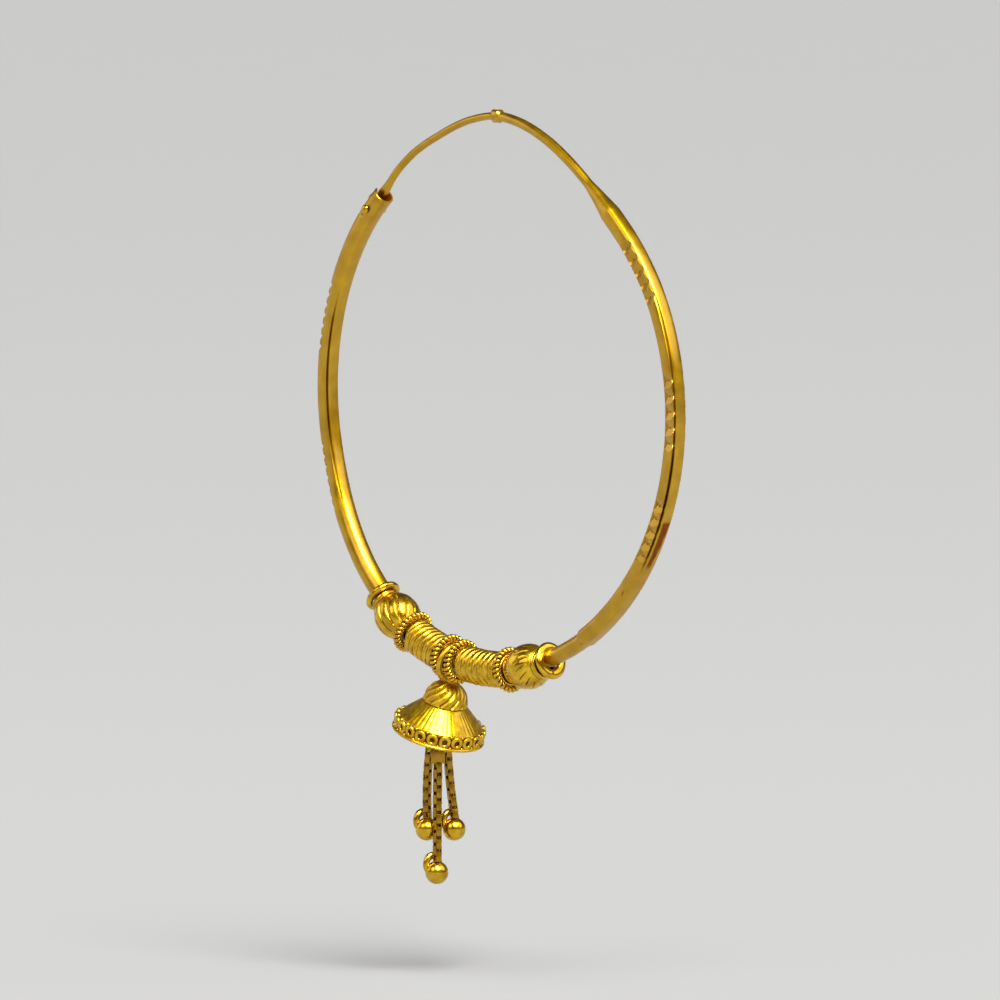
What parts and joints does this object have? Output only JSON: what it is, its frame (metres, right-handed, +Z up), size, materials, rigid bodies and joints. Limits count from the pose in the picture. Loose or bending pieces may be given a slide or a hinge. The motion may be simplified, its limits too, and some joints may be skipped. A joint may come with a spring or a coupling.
{
  "type": "hoop earring with bell drop",
  "caption": "Large gold hoop earring with a hinged ear wire, threaded beads and wire coils at the bottom, and a bell drop with short chains and balls.",
  "frame": {"origin": "middle of the ear wire beside its mouth, where the earring hangs in the ear", "axes": "+Z up, away from the drop; the hoop lies in the XZ plane with its hinge towards -X; +Y is the back, so the front seen in the usual view faces -Y"},
  "size_m": [0.0517, 0.009, 0.0739],
  "materials": {
    "satin_gold": "satin 22 carat gold",
    "bright_gold": "polished 22 carat gold"
  },
  "bodies": {
    "hoop": {"hoop_tube": "satin_gold", "hinge_rivet": "bright_gold", "end_ring_left": "bright_gold", "end_ring_right": "bright_gold", "fluted_bead_left": "bright_gold", "fluted_bead_right": "bright_gold", "rope_ring_1": "bright_gold", "rope_ring_2": "bright_gold", "rope_ring_3": "bright_gold", "rope_ring_4": "bright_gold", "coil_left": "bright_gold", "coil_right": "bright_gold"},
    "ear_wire": {"ear_wire": "satin_gold"},
    "drop": {"bell": "bright_gold", "chain_ring": "bright_gold", "chain_left": "bright_gold", "ball_left": "bright_gold", "chain_middle": "bright_gold", "ball_middle": "bright_gold", "chain_right": "bright_gold", "ball_right": "bright_gold"}
  },
  "joints": [
    {"name": "ear_wire_hinge", "type": "hinge", "parent": "hoop", "child": "ear_wire", "pos_m": [-0.01661, 0, -0.00959], "axis": [0, -1, 0], "range_deg": [0, 75]},
    {"name": "drop_swing", "type": "hinge", "parent": "hoop", "child": "drop", "pos_m": [-0.00478, 0, -0.0515], "axis": [0.978, 0, -0.2088], "range_deg": [-90, 90]}
  ]
}
